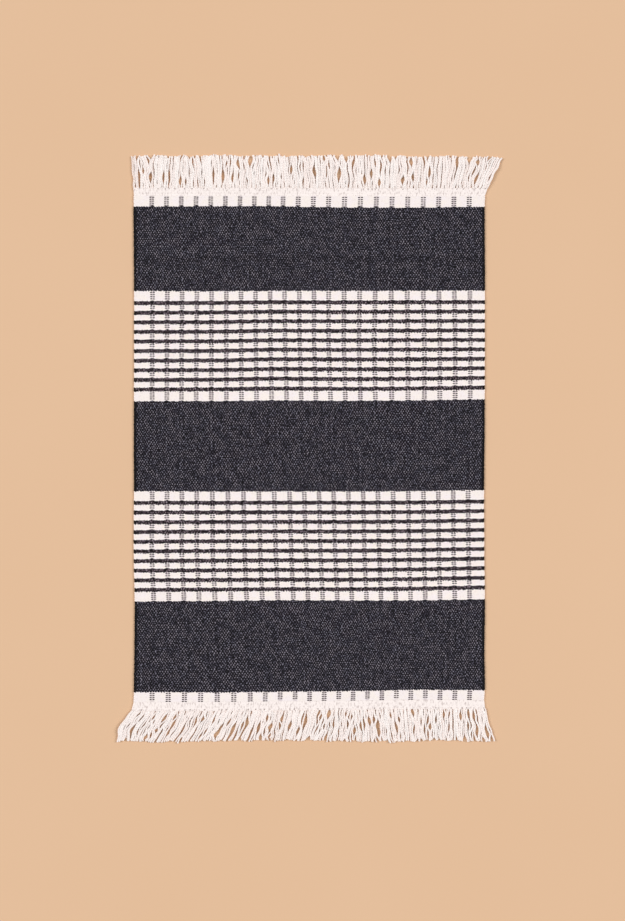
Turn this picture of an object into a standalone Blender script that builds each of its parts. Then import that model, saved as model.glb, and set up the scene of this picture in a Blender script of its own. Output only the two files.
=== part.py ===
"""A flat-woven kitchen rug with a fringe on each short end, lying flat.

Metres, +Z up. X runs across the rug and Y along it. The origin is the middle of the cloth's underside.
"""

import math
from collections import namedtuple

import bmesh
import bpy

MM = 0.001

# The cloth
CLOTH_WIDTH = 600 * MM
CLOTH_LENGTH = 865 * MM
CLOTH_THICKNESS = 3 * MM
SIDE_STEPS = 36  # straight runs along each selvedge
END_STEPS = 24  # and along each end
CLEARANCE = 0.3 * MM  # between the cloth's end and a heading

# The strands of one fringe
STRANDS = 148
STEPS = 5  # straight runs along a strand
ROOT_SHARE = 0.58  # of the pitch that a strand fills where it leaves the heading
BODY_WIDTH = 2.1 * MM
TIP_WIDTH = 1.8 * MM
BODY_HEIGHT = 2.4 * MM
TIP_HEIGHT = 2.0 * MM
SWAY = 0.9 * MM  # how far a bunch of strands bows to one side on its way out
RAGGED = 1.6 * MM  # how unevenly the strands were trimmed

# How many neighbouring strands lie together in each bunch, over and over along a fringe
BUNCHES = (5, 8, 6, 9, 4, 7, 10, 5, 6, 8)
# How much closer together the tips of each such bunch lie than its roots
GATHERS = (0.20, 0.28, 0.12, 0.25, 0.30, 0.16)

# How far each selvedge lies outside its straight line. Along goes from the near end, 0, to the far end, 1.
Selvedge = namedtuple("Selvedge", "along left right")
SELVEDGES = (
    Selvedge(0.00, 0.9 * MM, -0.5 * MM),
    Selvedge(0.03, 0.3 * MM, 0.7 * MM),
    Selvedge(0.10, -0.6 * MM, -0.3 * MM),
    Selvedge(0.19, -1.2 * MM, 0.7 * MM),
    Selvedge(0.30, 0.7 * MM, -0.5 * MM),
    Selvedge(0.42, 0.2 * MM, -0.9 * MM),
    Selvedge(0.54, 0.4 * MM, 0.2 * MM),
    Selvedge(0.70, 0.0 * MM, 0.5 * MM),
    Selvedge(0.83, 0.0 * MM, 0.7 * MM),
    Selvedge(0.97, 0.9 * MM, 0.2 * MM),
    Selvedge(1.00, 0.5 * MM, 0.9 * MM),
)

# The cloth's end lines, which run slightly askew. Across goes from the left selvedge, 0, to the right one, 1.
EndLine = namedtuple("EndLine", "across near far")
END_LINES = (
    EndLine(0.00, -1.7 * MM, 0.3 * MM),
    EndLine(0.25, -0.9 * MM, 0.6 * MM),
    EndLine(0.50, 0.2 * MM, 0.2 * MM),
    EndLine(0.80, 2.4 * MM, -0.5 * MM),
    EndLine(1.00, 1.9 * MM, 0.4 * MM),
)

# How the strands lie, by their place across the rug: how far a tip lies to the right of its root, and how far out.
Lie = namedtuple("Lie", "across sideways reach")
NEAR_LIES = (
    Lie(0.00, -28 * MM, 50 * MM),
    Lie(0.06, -31 * MM, 51 * MM),
    Lie(0.16, -30 * MM, 52 * MM),
    Lie(0.27, -25 * MM, 51 * MM),
    Lie(0.35, -15 * MM, 50 * MM),
    Lie(0.43, -11 * MM, 51 * MM),
    Lie(0.51, -12 * MM, 52 * MM),
    Lie(0.59, -5 * MM, 53 * MM),
    Lie(0.67, 5 * MM, 54 * MM),
    Lie(0.75, 6 * MM, 54 * MM),
    Lie(0.85, 0 * MM, 53 * MM),
    Lie(0.94, 3 * MM, 54 * MM),
    Lie(1.00, 12 * MM, 55 * MM),
)
FAR_LIES = (
    Lie(0.00, -3 * MM, 55 * MM),
    Lie(0.10, 2 * MM, 54 * MM),
    Lie(0.25, -2 * MM, 55 * MM),
    Lie(0.40, 2 * MM, 55 * MM),
    Lie(0.49, -3 * MM, 54 * MM),
    Lie(0.62, -2 * MM, 55 * MM),
    Lie(0.74, 3 * MM, 55 * MM),
    Lie(0.86, 6 * MM, 54 * MM),
    Lie(0.94, 13 * MM, 52 * MM),
    Lie(1.00, 26 * MM, 48 * MM),
)

# The two ends. Side is the way the end faces along Y. The flares say how far a heading's outer corners stand out.
End = namedtuple("End", "name side depth flare_left flare_right lies first_bunch")
ENDS = (
    End("near_heading_and_fringe", -1, 16.0 * MM, 4.0 * MM, 2.0 * MM, NEAR_LIES, 0),
    End("far_heading_and_fringe", 1, 13.7 * MM, 0.8 * MM, 5.0 * MM, FAR_LIES, 3),
)

Finish = namedtuple("Finish", "name colour roughness")
DARK_WEAVE = Finish("dark_cotton_weave", (0.045, 0.040, 0.052, 1.0), 0.95)
UNDYED_YARN = Finish("undyed_cotton_yarn", (0.88, 0.82, 0.79, 1.0), 0.92)


def clear_scene():
    for thing in list(bpy.data.objects):
        bpy.data.objects.remove(thing, do_unlink=True)


def make_material(finish):
    material = bpy.data.materials.new(finish.name)
    material.use_nodes = True
    shader = material.node_tree.nodes["Principled BSDF"]
    shader.inputs["Base Color"].default_value = finish.colour
    shader.inputs["Roughness"].default_value = finish.roughness
    shader.inputs["Metallic"].default_value = 0.0
    return material


def between(rows, place, column):
    """A column of a short table at a place between its rows, easing from each row to the next."""
    for lower, upper in zip(rows, rows[1:]):
        if place <= upper[0]:
            break
    share = min(max((place - lower[0]) / (upper[0] - lower[0]), 0.0), 1.0)
    eased = share * share * (3 - 2 * share)
    return getattr(lower, column) * (1 - eased) + getattr(upper, column) * eased


def selvedge_x(side, along):
    """Where a selvedge runs: side is -1 for the left one and 1 for the right one."""
    column = "right" if side > 0 else "left"
    return side * (CLOTH_WIDTH / 2 + between(SELVEDGES, along, column))


def end_y(side, across):
    """Where the cloth ends: side is -1 for the near end and 1 for the far one."""
    column = "far" if side > 0 else "near"
    return side * CLOTH_LENGTH / 2 + between(END_LINES, across, column)


def cloth_outline():
    """Points around the cloth, from the near end up the right selvedge and back down the left one."""
    points = []
    for side in (1, -1):
        for step in range(SIDE_STEPS + 1):
            along = step / SIDE_STEPS if side > 0 else 1 - step / SIDE_STEPS
            across = 1.0 if side > 0 else 0.0
            near = end_y(-1, across)
            far = end_y(1, across)
            points.append((selvedge_x(side, along), near + (far - near) * along))
        finished = (1 + side) / 2
        left = selvedge_x(-1, finished)
        right = selvedge_x(1, finished)
        for step in range(1, END_STEPS):
            across = 1 - step / END_STEPS if side > 0 else step / END_STEPS
            points.append((left + (right - left) * across, end_y(side, across)))
    return points


def make_cloth(collection):
    """The woven cloth: its outline as a filled flat curve, as thick as the cloth."""
    curve = bpy.data.curves.new("woven_cloth", "CURVE")
    curve.dimensions = "2D"
    curve.fill_mode = "BOTH"
    curve.extrude = CLOTH_THICKNESS / 2
    outline = cloth_outline()
    spline = curve.splines.new("POLY")
    spline.points.add(len(outline) - 1)
    for point, (x, y) in zip(spline.points, outline):
        point.co = (x, y, 0.0, 1.0)
    spline.use_cyclic_u = True
    cloth = bpy.data.objects.new("woven_cloth", curve)
    cloth.location.z = CLOTH_THICKNESS / 2
    cloth.data.materials.append(make_material(DARK_WEAVE))
    collection.objects.link(cloth)


def heading_point(end, across, outer):
    """A place on the heading's inner edge, where outer is 0, or on its outer edge, where it is 1."""
    along = (1 + end.side) / 2
    left = selvedge_x(-1, along) - end.flare_left * outer
    right = selvedge_x(1, along) + end.flare_right * outer
    line = end_y(end.side, across) + end.side * (CLEARANCE + end.depth * outer)
    return left + (right - left) * across, line


def cell_edge(column):
    """How far across the heading a cell starts: the odd cells carry strands and the even ones are gaps."""
    strand = (column - 1) // 2
    starts_a_gap = (column - 1) % 2
    gap_share = 1 - ROOT_SHARE
    if column == 0:
        return 0.0
    if column == 2 * STRANDS + 1:
        return 1.0
    return (strand + gap_share / 2 + ROOT_SHARE * starts_a_gap) / STRANDS


def heading_blank(end):
    """The heading strip before its strands are drawn out, with one cell for each strand and gap."""
    columns = 2 * STRANDS + 1
    blank = bmesh.new()
    bmesh.ops.create_grid(blank, x_segments=columns, y_segments=1, size=0.5)
    for vertex in blank.verts:
        column = round((vertex.co.x + 0.5) * columns)
        outer = 1 if vertex.co.y > 0 else 0
        x, y = heading_point(end, cell_edge(column), outer)
        vertex.co = (x, y, 0.0)
    raised = bmesh.ops.extrude_face_region(blank, geom=blank.faces[:])
    top = [item for item in raised["geom"] if isinstance(item, bmesh.types.BMVert)]
    bmesh.ops.translate(blank, verts=top, vec=(0.0, 0.0, CLOTH_THICKNESS))
    bmesh.ops.recalc_face_normals(blank, faces=blank.faces[:])
    return blank


def strand_bunches(first_bunch):
    """For each strand, the number of its bunch and its place in it, counted from the bunch's middle."""
    places = []
    bunch = first_bunch
    while len(places) < STRANDS:
        size = BUNCHES[bunch % len(BUNCHES)]
        places += [(bunch, index - (size - 1) / 2) for index in range(size)]
        bunch += 1
    return places[:STRANDS]


def strand_step(end, root, strand, bunch, place, step):
    """A strand's centre, width and height at one step on its way from root to tip."""
    share = step / STEPS
    across = (strand + 0.5) / STRANDS
    sideways = between(end.lies, across, "sideways")
    reach = between(end.lies, across, "reach") + RAGGED * math.sin(2.4 * strand)
    pitch = CLOTH_WIDTH / STRANDS
    gather = GATHERS[bunch % len(GATHERS)] * pitch * place
    bow = SWAY * math.sin(1.7 * bunch) * math.sin(math.pi * share)
    x = root.x + sideways * share * (0.7 + 0.3 * share) - gather * share + bow
    y = root.y + end.side * reach * share
    slant = math.hypot(sideways, reach) / reach
    width = (BODY_WIDTH + (TIP_WIDTH - BODY_WIDTH) * share) * slant
    height = BODY_HEIGHT + (TIP_HEIGHT - BODY_HEIGHT) * share
    return x, y, width, height


def draw_strands(blank, end):
    """Draws a strand out of every second cell of the heading's outer edge, step by step, level on the floor."""
    outward = [face for face in blank.faces if face.normal.y * end.side > 0.5]
    outward.sort(key=lambda face: face.calc_center_median().x)
    tips = outward[1::2]
    roots = [face.calc_center_median() for face in tips]
    bunches = strand_bunches(end.first_bunch)
    for step in range(1, STEPS + 1):
        tips = bmesh.ops.extrude_discrete_faces(blank, faces=tips)["faces"]
        tips.sort(key=lambda face: face.calc_center_median().x)
        for strand, face in enumerate(tips):
            middle = face.calc_center_median()
            bunch, place = bunches[strand]
            x, y, width, height = strand_step(end, roots[strand], strand, bunch, place, step)
            for vertex in face.verts:
                right = 1 if vertex.co.x > middle.x else -1
                top = 1 if vertex.co.z > middle.z else 0
                vertex.co = (x + right * width / 2, y, top * height)


def make_end(end, collection):
    """A heading with its fringe: one strip of yarn-bound edge, with its strands fused in at their roots."""
    blank = heading_blank(end)
    draw_strands(blank, end)
    mesh = bpy.data.meshes.new(end.name)
    blank.to_mesh(mesh)
    blank.free()
    mesh.materials.append(make_material(UNDYED_YARN))
    collection.objects.link(bpy.data.objects.new(end.name, mesh))


def make_rug():
    clear_scene()
    collection = bpy.data.collections.new("kitchen_rug")
    bpy.context.scene.collection.children.link(collection)
    make_cloth(collection)
    for end in ENDS:
        make_end(end, collection)


make_rug()
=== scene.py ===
"""The looks of a flat-woven kitchen rug with fringed ends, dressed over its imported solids.

Metres, +Z up. X runs across the rug and Y along it, as in the solids. A place on the cloth is given as woven:
how far across it lies from the left selvedge, and how far down from the far end. The cloth then wanders a
little from there.
"""

import math
import random
from collections import namedtuple

import bpy
import numpy as np
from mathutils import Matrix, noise


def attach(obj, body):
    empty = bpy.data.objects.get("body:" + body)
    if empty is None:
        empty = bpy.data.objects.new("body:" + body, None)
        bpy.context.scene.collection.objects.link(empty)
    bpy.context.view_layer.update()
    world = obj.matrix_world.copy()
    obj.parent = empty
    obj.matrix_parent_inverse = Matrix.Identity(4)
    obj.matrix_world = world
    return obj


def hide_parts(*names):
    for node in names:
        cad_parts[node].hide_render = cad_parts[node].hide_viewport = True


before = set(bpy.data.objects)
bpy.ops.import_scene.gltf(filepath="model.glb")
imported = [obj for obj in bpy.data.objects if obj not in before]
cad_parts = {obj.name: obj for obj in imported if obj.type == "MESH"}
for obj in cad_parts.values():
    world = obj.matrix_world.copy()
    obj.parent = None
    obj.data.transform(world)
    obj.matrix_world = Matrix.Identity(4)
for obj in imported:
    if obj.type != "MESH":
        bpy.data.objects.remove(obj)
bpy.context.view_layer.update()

MM = 0.001
BODY = "root"

# Added to a place that lies on a stripe's edge, against rounding
HAIR = 0.001 * MM

# The cloth. The solid's points along a selvedge lie within the selvedge depth of its edge.
CLOTH_WIDTH = 600 * MM
CLOTH_LENGTH = 865 * MM
CLOTH_TOP = 2.8 * MM
RIM_TOP = 2.0 * MM
SELVEDGE_DEPTH = 5 * MM
HEADING_GAP = 0.02 * MM

# How the cloth rolls a little: how high across the rug and along it, and over what lengths
ROLL_ACROSS = 0.25 * MM
ROLL_ALONG = 0.2 * MM
ROLL_WIDTH = 47 * MM
ROLL_LENGTH = 61 * MM
ROLL_START = 2.0
ROLL_SWAY = 1.3
ROLL_SWAY_LENGTH = 90 * MM

# The weave: six warp groups to each tick column, of which two come up in rows of small dark floats. Beside
# the near heading, a share of the floats lies hidden.
TICK_COUNT = 22
TICK_PITCH = 25.84 * MM
FIRST_TICK = 31.1 * MM
GROUPS_PER_TICK = 6
WARP_PITCH = TICK_PITCH / GROUPS_PER_TICK
COLUMN = WARP_PITCH / 2
FLOAT_PITCH = 3.42 * MM
FLOAT_APART = 4.7 * MM
HIDDEN_FLOATS = 0.25

# How fine the cloth's grid is along the rug in each weave, and how much its points rise, or rise and dip in
# turn
ROW_HEIGHTS = {"plain": 2.8 * MM, "line": 2.0 * MM, "twill": 2.9 * MM}
WEAVES = tuple(ROW_HEIGHTS)
PLAIN_RELIEF = 0.06 * MM
TWILL_RELIEF = 0.16 * MM
LINE_RISE = 0.45 * MM
LEAST_COLUMN = 1 * MM

# The teeth where dark weft meets undyed weft, on the far and the near edges of the dark stripes, and the
# least and the greatest share of one. A far edge reaches further where the dark warp comes up.
FAR_TOOTH = 0.7 * MM
NEAR_TOOTH = 1.1 * MM
TOOTH_SHARES = (-0.2, 1.3)
TICK_TOOTH = 1.3 * MM
TICK_TOOTH_STEPS = 1.6
TEETH_SEED = 4

# How much the dark warp greys the ground over it, at least and at most, and how many grid columns to each
# side
WARP_SHOW = (0.16, 0.40)
WARP_SHOW_STEPS = 1.1

# The stripes, from the far end to the near one. Floats counts the rows of small dark floats across a plain
# stripe, and first is how far down it the first row lies.
Stripe = namedtuple("Stripe", "weave height floats first", defaults=(0, 0.0))
LINES_PER_GROUP = 10
FIRST_GAP = Stripe("plain", 16.3 * MM, 4, 2.3 * MM)
DARK_LINE = Stripe("line", 6.7 * MM)
LINE_GAP = Stripe("plain", 9.8 * MM, 2, 1.8 * MM)
LAST_GAP = Stripe("plain", 16.7 * MM, 4, 2.5 * MM)
LINE_GROUP = [FIRST_GAP] + [DARK_LINE, LINE_GAP] * (LINES_PER_GROUP - 1) + [DARK_LINE, LAST_GAP]
STRIPES = (
    [Stripe("plain", 18.7 * MM, 5, 2.6 * MM), Stripe("twill", 143.8 * MM)]
    + LINE_GROUP
    + [Stripe("twill", 154.3 * MM)]
    + LINE_GROUP
    + [Stripe("twill", 154.9 * MM), Stripe("plain", 16.9 * MM, 5, 2.3 * MM)]
)

# How far the warp lies to the right of its even spacing, down the rug, at eight places across it
Wander = namedtuple("Wander", "down at_0 at_3 at_6 at_9 at_12 at_15 at_18 at_21")
WANDERS = (
    Wander(10 * MM, -0.3, -2.1, -4.5, -8.6, -8.4, -4.1, -1.4, -0.5),
    Wander(171 * MM, 0.5, -1.2, -3.3, -6.3, -8.4, -6.5, -1.4, 0.7),
    Wander(255 * MM, -0.2, -1.9, -3.1, -5.1, -8.6, -8.1, 0.7, 2.1),
    Wander(341 * MM, 0.2, -2.2, -2.2, -2.6, -5.1, -6.0, 0.7, 2.1),
    Wander(514 * MM, 0.2, -1.0, 1.7, 3.3, 1.2, -0.5, 0.2, -1.2),
    Wander(599 * MM, -0.3, -0.9, 3.8, 5.7, 3.4, 1.2, 0.5, -1.0),
    Wander(685 * MM, 1.4, 1.4, 5.5, 8.2, 5.8, 3.3, 1.7, 0.0),
    Wander(856 * MM, 0.2, 6.0, 13.5, 12.5, 9.6, 5.8, 2.6, 1.0),
)
WANDER_TICKS = (0, 3, 6, 9, 12, 15, 18, 21)

# How far the weft lies beyond its even place, towards the far end, down the rug, at six places across it
Sag = namedtuple("Sag", "down at_0 at_25 at_40 at_60 at_80 at_100")
SAGS = (
    Sag(0 * MM, 0.3, 0.6, 0.4, 0.0, -0.5, 0.4),
    Sag(19 * MM, 0.3, 1.0, 1.3, -1.3, -1.5, 0.2),
    Sag(163 * MM, -0.3, -1.0, -0.2, -0.2, 0.0, 0.3),
    Sag(182 * MM, -1.7, -1.2, 0.2, -0.5, 0.0, 0.3),
    Sag(247 * MM, -1.2, -1.0, 1.0, 0.7, 1.2, 1.6),
    Sag(279 * MM, -1.2, -0.7, 1.5, 0.9, 1.3, 2.3),
    Sag(330 * MM, -1.0, -0.7, 0.8, -0.2, 0.5, 2.7),
    Sag(505 * MM, -0.8, -1.3, -1.0, -1.3, -0.8, 1.1),
    Sag(525 * MM, -0.9, -1.1, -0.8, -1.0, -0.6, 1.4),
    Sag(591 * MM, -1.8, -0.8, -0.6, -0.5, 0.4, 2.5),
    Sag(673 * MM, -1.7, -1.2, -0.4, -0.8, 0.3, 2.8),
    Sag(692 * MM, -1.4, -0.5, 0.9, 0.2, 0.3, 2.7),
    Sag(848 * MM, -1.7, -2.2, -1.0, 0.0, 2.2, 1.5),
    Sag(865 * MM, -1.7, -0.9, -0.2, 0.8, 2.4, 1.9),
)
SAG_SHARES = (0.0, 0.25, 0.40, 0.60, 0.80, 1.0)

# How the strands lie, by their place across the rug: how far a tip lies to the right of its root, how far
# out, and how soon a strand goes sideways, where 0 is straight
Lie = namedtuple("Lie", "across sideways reach bow", defaults=(-0.07,))
NEAR_LIES = (
    Lie(0.00, -24 * MM, 50 * MM, 0.25),
    Lie(0.06, -30 * MM, 51 * MM, 0.08),
    Lie(0.16, -30 * MM, 52 * MM),
    Lie(0.27, -25 * MM, 51 * MM),
    Lie(0.35, -15 * MM, 50 * MM),
    Lie(0.43, -11 * MM, 51 * MM),
    Lie(0.51, -12 * MM, 52 * MM),
    Lie(0.59, -5 * MM, 53 * MM),
    Lie(0.67, 5 * MM, 54 * MM),
    Lie(0.75, 6 * MM, 54 * MM),
    Lie(0.85, 0 * MM, 53 * MM),
    Lie(0.94, 3 * MM, 54 * MM),
    Lie(1.00, 12 * MM, 55 * MM),
)
FAR_LIES = (
    Lie(0.00, -3 * MM, 55 * MM),
    Lie(0.10, 2 * MM, 54 * MM),
    Lie(0.25, -2 * MM, 55 * MM),
    Lie(0.40, 2 * MM, 55 * MM),
    Lie(0.49, -3 * MM, 54 * MM),
    Lie(0.62, -2 * MM, 55 * MM),
    Lie(0.74, 3 * MM, 55 * MM),
    Lie(0.86, 6 * MM, 54 * MM),
    Lie(0.94, 13 * MM, 54 * MM),
    Lie(1.00, 25 * MM, 51 * MM),
)

# The larger openings between the strands, left to right: how many millimetres from the left selvedge, how
# far out from the heading, where 1 is at the tips, how many millimetres a strand is pushed aside, and the
# half length as a share of the way out
Spot = namedtuple("Spot", "across out half_width half_length")
NEAR_SPOTS = (
    Spot(-10, 0.48, 2.6, 0.12),
    Spot(-4, 0.62, 4.4, 0.20),
    Spot(8, 0.12, 3.2, 0.08),
    Spot(18, 0.90, 5.6, 0.08),
    Spot(25, 0.53, 4.6, 0.15),
    Spot(31, 0.22, 4.2, 0.11),
    Spot(37, 0.65, 4.4, 0.08),
    Spot(52, 0.25, 4.4, 0.17),
    Spot(63, 0.60, 4.4, 0.17),
    Spot(69, 0.20, 3.4, 0.09),
    Spot(98, 0.33, 3.1, 0.16),
    Spot(116, 0.27, 4.2, 0.09),
    Spot(123, 0.70, 2.7, 0.15),
    Spot(143, 0.75, 3.5, 0.13),
    Spot(151, 0.52, 3.0, 0.10),
    Spot(162, 0.40, 3.0, 0.18),
    Spot(170, 0.62, 3.9, 0.20),
    Spot(214, 0.58, 4.1, 0.16),
    Spot(216, 0.92, 3.6, 0.10),
    Spot(228, 0.27, 2.8, 0.14),
    Spot(230, 0.88, 3.5, 0.12),
    Spot(233, 0.58, 5.0, 0.13),
    Spot(249, 0.52, 3.5, 0.15),
    Spot(253, 0.30, 3.8, 0.15),
    Spot(266, 0.55, 3.9, 0.18),
    Spot(280, 0.70, 3.8, 0.14),
    Spot(292, 0.35, 3.0, 0.30),
    Spot(298, 0.97, 6.5, 0.09),
    Spot(318, 0.23, 3.0, 0.10),
    Spot(324, 0.52, 3.9, 0.10),
    Spot(333, 0.15, 3.6, 0.15),
    Spot(341, 0.53, 2.8, 0.10),
    Spot(363, 1.00, 6.0, 0.07),
    Spot(364, 0.13, 3.0, 0.10),
    Spot(372, 0.25, 3.1, 0.12),
    Spot(377, 0.67, 3.7, 0.14),
    Spot(393, 0.43, 3.7, 0.24),
    Spot(401, 0.35, 3.3, 0.11),
    Spot(410, 0.33, 3.0, 0.10),
    Spot(415, 0.97, 4.2, 0.08),
    Spot(418, 0.53, 5.0, 0.20),
    Spot(435, 1.00, 4.2, 0.07),
    Spot(449, 0.55, 3.4, 0.20),
    Spot(454, 0.33, 3.2, 0.10),
    Spot(477, 0.10, 4.2, 0.14),
    Spot(477, 0.65, 3.0, 0.16),
    Spot(484, 1.00, 3.4, 0.06),
    Spot(504, 0.57, 4.0, 0.14),
    Spot(513, 1.00, 4.2, 0.06),
    Spot(531, 0.17, 3.2, 0.14),
    Spot(538, 0.17, 3.3, 0.14),
    Spot(538, 0.62, 4.4, 0.20),
    Spot(560, 0.22, 2.8, 0.12),
    Spot(567, 0.97, 4.2, 0.10),
    Spot(573, 0.15, 3.9, 0.16),
    Spot(575, 0.52, 3.3, 0.18),
    Spot(581, 0.20, 3.8, 0.18),
    Spot(585, 0.63, 4.2, 0.22),
    Spot(596, 0.95, 4.0, 0.10),
    Spot(605, 0.70, 5.5, 0.18),
)
FAR_SPOTS = (
    Spot(5, 1.00, 3.6, 0.10),
    Spot(9, 0.46, 3.1, 0.16),
    Spot(13, 0.52, 2.7, 0.14),
    Spot(27, 1.00, 4.4, 0.12),
    Spot(28, 0.27, 3.1, 0.14),
    Spot(50, 0.33, 3.1, 0.24),
    Spot(60, 0.38, 2.9, 0.30),
    Spot(79, 0.20, 3.6, 0.14),
    Spot(89, 0.20, 3.1, 0.13),
    Spot(100, 0.82, 3.1, 0.14),
    Spot(137, 0.41, 3.1, 0.15),
    Spot(151, 0.37, 3.4, 0.20),
    Spot(158, 0.78, 3.6, 0.11),
    Spot(169, 0.30, 2.7, 0.17),
    Spot(180, 0.76, 3.6, 0.17),
    Spot(199, 0.86, 3.6, 0.15),
    Spot(219, 1.00, 6.0, 0.07),
    Spot(230, 0.26, 3.1, 0.13),
    Spot(238, 0.30, 3.6, 0.18),
    Spot(268, 0.57, 3.6, 0.15),
    Spot(309, 0.50, 4.1, 0.17),
    Spot(327, 0.97, 5.4, 0.10),
    Spot(329, 0.56, 3.6, 0.24),
    Spot(348, 0.97, 5.4, 0.10),
    Spot(350, 0.43, 5.0, 0.20),
    Spot(362, 0.95, 5.2, 0.13),
    Spot(379, 0.55, 3.6, 0.26),
    Spot(395, 0.24, 4.1, 0.15),
    Spot(405, 0.47, 3.6, 0.14),
    Spot(420, 0.16, 3.1, 0.12),
    Spot(422, 0.65, 3.6, 0.26),
    Spot(437, 0.94, 4.6, 0.12),
    Spot(460, 0.27, 3.6, 0.10),
    Spot(474, 0.82, 3.6, 0.12),
    Spot(477, 0.34, 3.6, 0.14),
    Spot(502, 0.20, 2.7, 0.12),
    Spot(505, 0.50, 4.6, 0.18),
    Spot(551, 0.80, 4.0, 0.22),
    Spot(577, 0.96, 5.4, 0.12),
    Spot(586, 0.30, 3.6, 0.17),
    Spot(588, 0.84, 4.0, 0.07),
    Spot(611, 0.96, 3.8, 0.08),
)

# The two ends. Side is the way the end faces along Y. The flares say how far a heading's outer corners
# stand out to the left and to the right. Openings and slits count those left to chance: the floor shows
# through an opening, and through a slit only its shade.
End = namedtuple("End", "name node side depth flares lies spots openings slits seed")
ENDS = (
    End(
        name="near",
        node="near_heading_and_fringe",
        side=-1,
        depth=16.0 * MM,
        flares=(4.0 * MM, 2.0 * MM),
        lies=NEAR_LIES,
        spots=NEAR_SPOTS,
        openings=46,
        slits=200,
        seed=11,
    ),
    End(
        name="far",
        node="far_heading_and_fringe",
        side=1,
        depth=13.7 * MM,
        flares=(0.8 * MM, 5.0 * MM),
        lies=FAR_LIES,
        spots=FAR_SPOTS,
        openings=16,
        slits=70,
        seed=29,
    ),
)

# The strands, of two plies twisted together
STRANDS = 280
STRAND_STEPS = 36
STRAND_RADIUS = 1.65 * MM
PLY_SHAPE = (1.0, 0.9, 0.76, 0.9, 1.0, 0.9, 0.76, 0.9)
STRAND_SIDES = len(PLY_SHAPE)
TWIST_LENGTH = 9 * MM

collection = bpy.data.collections.new("kitchen_rug_looks")
bpy.context.scene.collection.children.link(collection)


# Places on the cloth


def solid_selvedge(side):
    """The solid's points along one selvedge, as rising places along Y and their X."""
    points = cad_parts["woven_cloth"].data.vertices
    edge = CLOTH_WIDTH / 2 - SELVEDGE_DEPTH
    found = sorted((p.co.y, p.co.x) for p in points if p.co.x * side > edge)
    return np.array(found).T


LEFT_SELVEDGE = solid_selvedge(-1)
RIGHT_SELVEDGE = solid_selvedge(1)


def from_table(rows, columns, downs, places):
    """A table of millimetres read between its rows, down the rug, and between its columns, across it."""
    values = np.array([row[1:] for row in rows]) * MM
    row_places = [row.down for row in rows]
    at_row = np.interp(downs, row_places, np.arange(len(rows)))
    lower = np.minimum(at_row.astype(int), len(rows) - 2)
    share = at_row - lower
    at_column = np.interp(places, columns, np.arange(len(columns)))
    left = np.minimum(at_column.astype(int), len(columns) - 2)
    across = at_column - left
    above = values[lower, left] * (1 - across) + values[lower, left + 1] * across
    below = values[lower + 1, left] * (1 - across) + values[lower + 1, left + 1] * across
    return above * (1 - share) + below * share


def on_cloth(across, down):
    """Where a woven place really lies: its X and Y."""
    across = np.asarray(across, float)
    down = np.asarray(down, float)
    share = across / CLOTH_WIDTH
    sag = from_table(SAGS, SAG_SHARES, down, share)
    y = CLOTH_LENGTH / 2 - down + sag
    left = np.interp(y, *LEFT_SELVEDGE)
    right = np.interp(y, *RIGHT_SELVEDGE)
    ticks = [FIRST_TICK + TICK_PITCH * tick for tick in WANDER_TICKS]
    fade = np.clip(np.minimum(across, CLOTH_WIDTH - across) / FIRST_TICK, 0, 1)
    wander = from_table(WANDERS, ticks, down, across) * fade
    return left + (right - left) * share + wander, y


def between(rows, place, column):
    """A column of a short table at a place between its rows, easing from each row to the next."""
    for lower, upper in zip(rows, rows[1:]):
        if place <= upper[0]:
            break
    share = min(max((place - lower[0]) / (upper[0] - lower[0]), 0.0), 1.0)
    eased = share * share * (3 - 2 * share)
    return getattr(lower, column) * (1 - eased) + getattr(upper, column) * eased


# Making pieces


# A face that turns more than this from its neighbour is parted from it by a sharp edge
SHARP_ANGLE = math.radians(70)


def make_piece(name, points, faces, materials, face_materials=None):
    """A smooth-shaded mesh piece that rides with the rug."""
    mesh = bpy.data.meshes.new(name)
    mesh.from_pydata(points, [], faces)
    for material in materials:
        mesh.materials.append(material)
    if face_materials is not None:
        mesh.polygons.foreach_set("material_index", face_materials)
    mesh.shade_smooth()
    mesh.set_sharp_from_angle(angle=SHARP_ANGLE)
    mesh.update()
    piece = bpy.data.objects.new(name, mesh)
    collection.objects.link(piece)
    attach(piece, BODY)
    return piece


def add_attribute(piece, name, values):
    """Gives each of a piece's points a number, or a place, that its material can read."""
    values = np.asarray(values, np.float32)
    kind, field = ("FLOAT", "value") if values.ndim == 1 else ("FLOAT_VECTOR", "vector")
    layer = piece.data.attributes.new(name, kind, "POINT")
    layer.data.foreach_set(field, values.ravel())


def closed_sheet(x, y, z):
    """Points and faces of a sheet: its top is a grid, and its flat underside has one strip to each row."""
    rows, columns = x.shape
    top = np.stack([x, y, z], -1).reshape(-1, 3)
    lefts = np.stack([x[:, 0], y[:, 0], np.zeros(rows)], -1)
    rights = np.stack([x[:, -1], y[:, -1], np.zeros(rows)], -1)
    points = np.concatenate([top, lefts, rights])
    grid = np.arange(rows * columns).reshape(rows, columns)
    left = rows * columns + np.arange(rows)
    right = left + rows
    quads = np.stack([grid[1:, :-1], grid[1:, 1:], grid[:-1, 1:], grid[:-1, :-1]], -1).reshape(-1, 4)
    faces = quads.tolist()
    for row in range(rows - 1):
        faces.append([left[row], right[row], right[row + 1], left[row + 1]])
    for row in range(rows - 1):
        faces.append([grid[row, 0], left[row], left[row + 1], grid[row + 1, 0]])
    for row in range(rows - 1):
        faces.append([grid[row, -1], grid[row + 1, -1], right[row + 1], right[row]])
    faces.append([*grid[0], right[0], left[0]])
    faces.append([*grid[-1][::-1], left[-1], right[-1]])
    return points, faces


# Materials


SHEEN_ROUGHNESS = 0.6
SPECULAR = 0.2

# The noise over which one patch fades into the next
LUMPS = (0.35, 0.65)


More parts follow.
